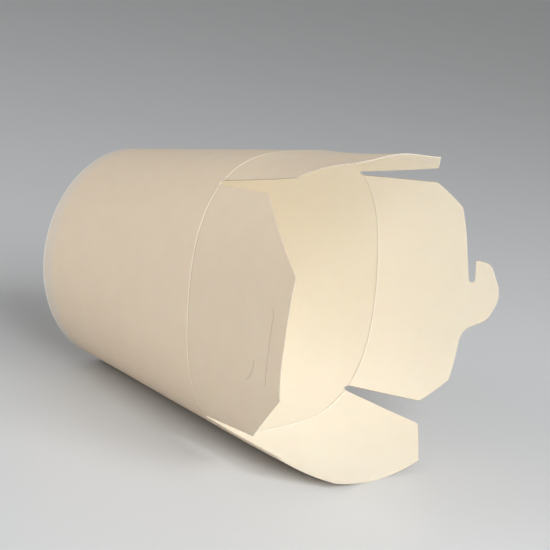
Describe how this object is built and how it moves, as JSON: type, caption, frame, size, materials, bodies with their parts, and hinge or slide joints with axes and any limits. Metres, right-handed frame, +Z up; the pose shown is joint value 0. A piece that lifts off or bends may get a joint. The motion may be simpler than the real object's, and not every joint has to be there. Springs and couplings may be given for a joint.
{
  "type": "paper food tub",
  "caption": "Round-based, square-mouthed paperboard food tub lying on its side, with its scored closing flaps open and a tongue-and-slit lock.",
  "frame": {"origin": "centre of the bounding box's footprint on the floor that the tub lies on", "axes": "+Z up from the floor, +X towards the open mouth (the tub's own axis rises 7.4 degrees towards the mouth), -Y the side of the slotted flap"},
  "size_m": [0.1586, 0.1308, 0.1233],
  "materials": {
    "wall_board": "satin",
    "disc_board": "satin",
    "flap_board": "satin"
  },
  "bodies": {
    "tub": {"side_wall": "wall_board", "bottom_disc": "disc_board"},
    "dust_flap_lower": {"flap_dust_lower": "flap_board"},
    "tongue_flap": {"flap_tongue": "flap_board"},
    "dust_flap_upper": {"flap_dust_upper": "flap_board"},
    "slotted_flap": {"flap_slotted": "flap_board"}
  },
  "joints": [
    {"name": "dust_lower_score", "type": "hinge", "parent": "tub", "child": "dust_flap_lower", "pos_m": [0.02639, 0.00144, 0.01245], "axis": [0.0025, -0.9998, -0.019], "range_deg": [0, 100]},
    {"name": "dust_upper_score", "type": "hinge", "parent": "tub", "child": "dust_flap_upper", "pos_m": [0.0148, -0.00028, 0.10133], "axis": [-0.0025, 0.9998, 0.019], "range_deg": [0, 88]},
    {"name": "tongue_score", "type": "hinge", "parent": "tub", "child": "tongue_flap", "pos_m": [0.0205, 0.0415, 0.05767], "axis": [0.1293, 0.0192, -0.9914], "range_deg": [0, 70]},
    {"name": "slotted_score", "type": "hinge", "parent": "tub", "child": "slotted_flap", "pos_m": [0.0207, -0.04034, 0.05611], "axis": [-0.1293, -0.0192, 0.9914], "range_deg": [0, 60]}
  ]
}
